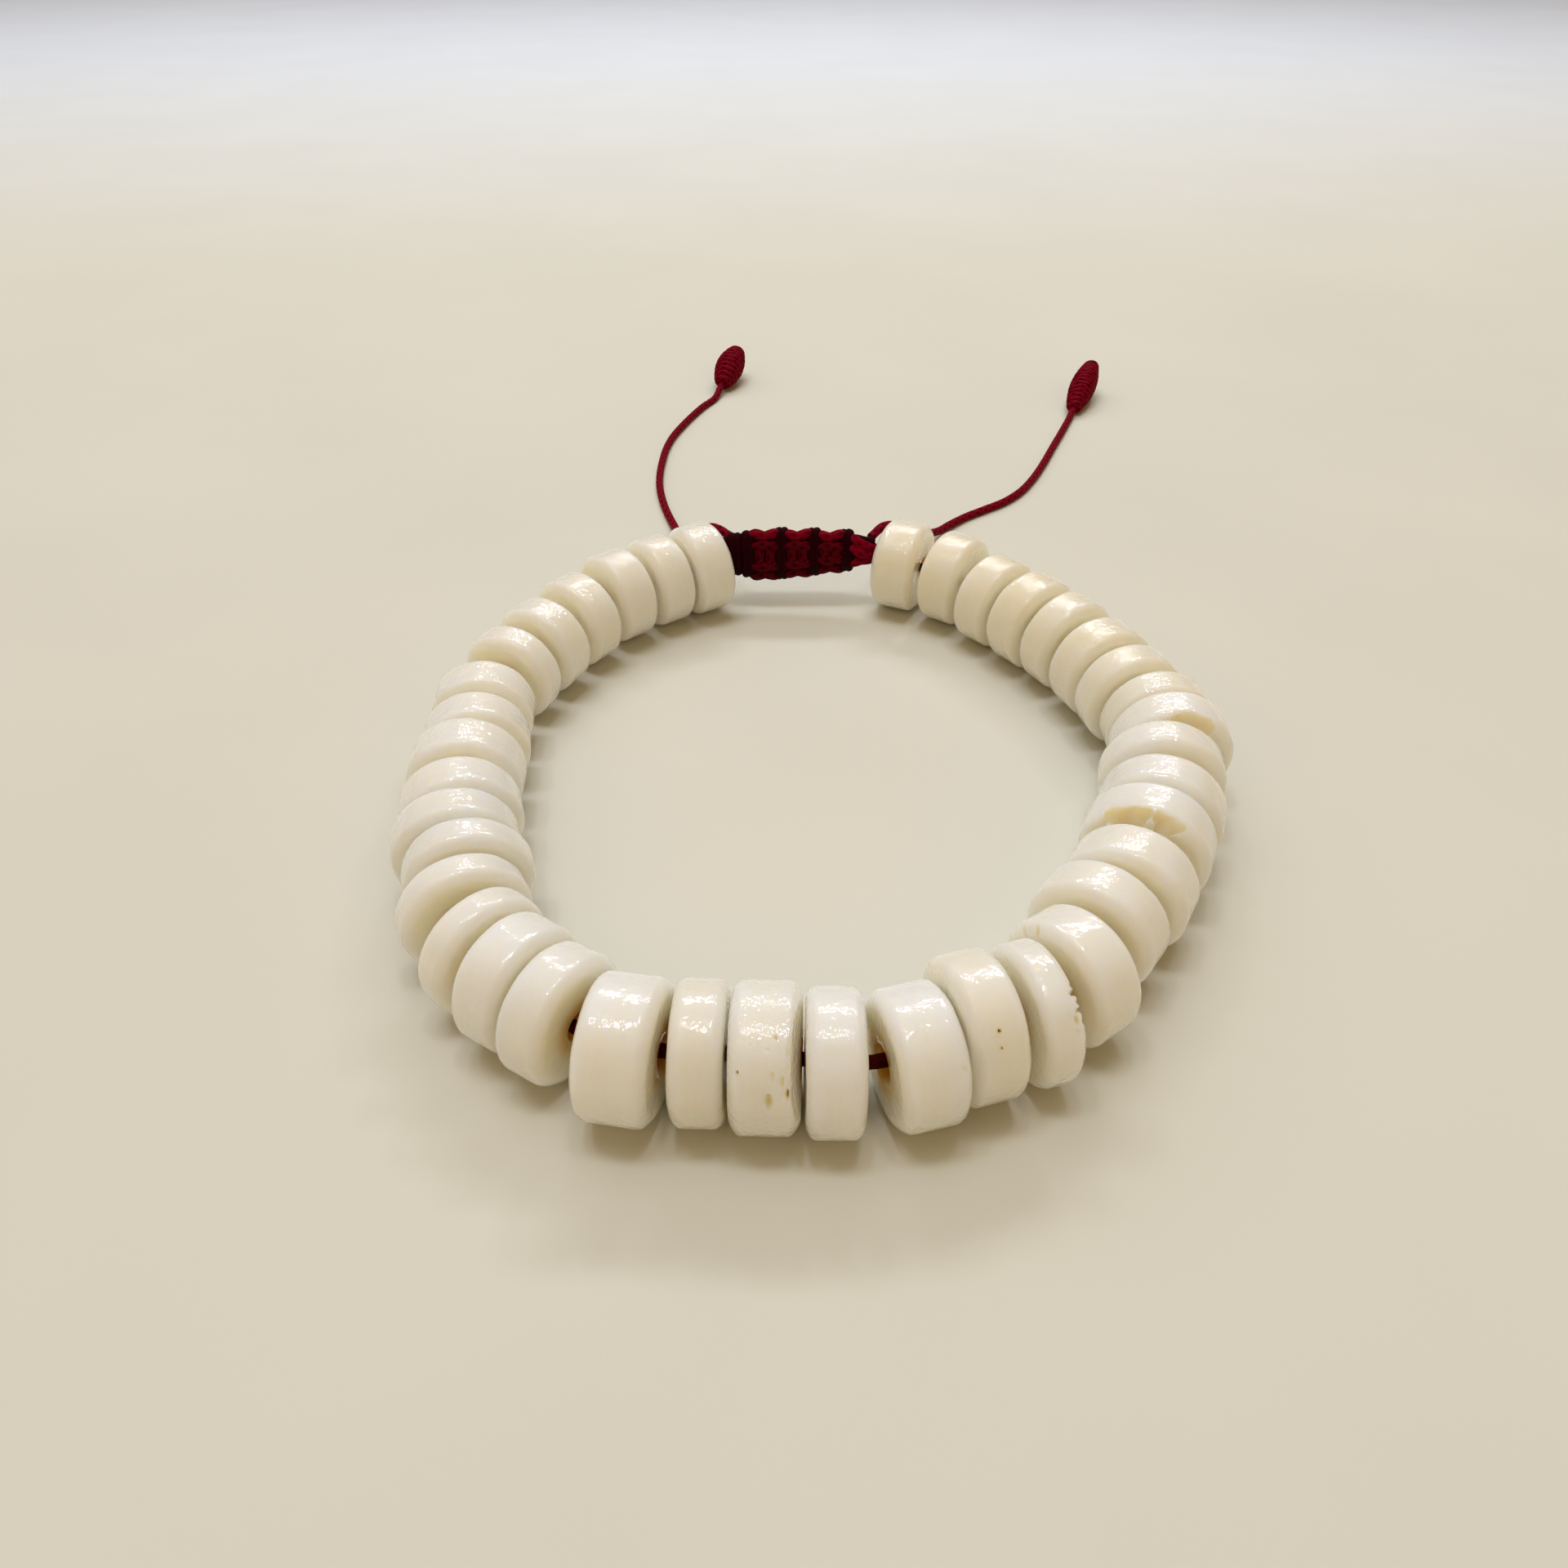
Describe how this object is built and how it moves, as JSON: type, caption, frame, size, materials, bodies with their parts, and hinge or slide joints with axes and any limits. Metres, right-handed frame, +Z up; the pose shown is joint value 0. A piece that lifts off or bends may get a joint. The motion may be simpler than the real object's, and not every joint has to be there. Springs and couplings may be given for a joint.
{
  "type": "shamballa bracelet",
  "caption": "Bracelet of thick polished disc beads on a dark red knotting cord, closed by a sliding square-knot braid with two knotted tails.",
  "frame": {"origin": "middle of the bead loop, on the surface that it lies on", "axes": "+Z up out of the loop's plane, -Y towards the front row of beads, +Y towards the sliding knot and the tails, +X to the right"},
  "size_m": [0.0844, 0.1526, 0.0106],
  "materials": {
    "bead": "polished bone, drilled and ground by hand",
    "cord": "waxed dark red knotting cord"
  },
  "bodies": {
    "root": {"bead_01": "bead", "bead_02": "bead", "bead_03": "bead", "bead_04": "bead", "bead_05": "bead", "bead_06": "bead", "bead_07": "bead", "bead_08": "bead", "bead_09": "bead", "bead_10": "bead", "bead_11": "bead", "bead_12": "bead", "bead_13": "bead", "bead_14": "bead", "bead_15": "bead", "bead_16": "bead", "bead_17": "bead", "bead_18": "bead", "bead_19": "bead", "bead_20": "bead", "bead_21": "bead", "bead_22": "bead", "bead_23": "bead", "bead_24": "bead", "bead_25": "bead", "bead_26": "bead", "bead_27": "bead", "bead_28": "bead", "bead_29": "bead", "bead_30": "bead", "bead_31": "bead", "bead_32": "bead", "bead_33": "bead", "bead_34": "bead", "bead_35": "bead", "bead_36": "bead", "bead_37": "bead", "bead_38": "bead", "thread": "cord", "slide_knot": "cord", "tail_left": "cord", "tail_right": "cord", "end_knot_left": "cord", "end_knot_right": "cord"}
  },
  "joints": []
}
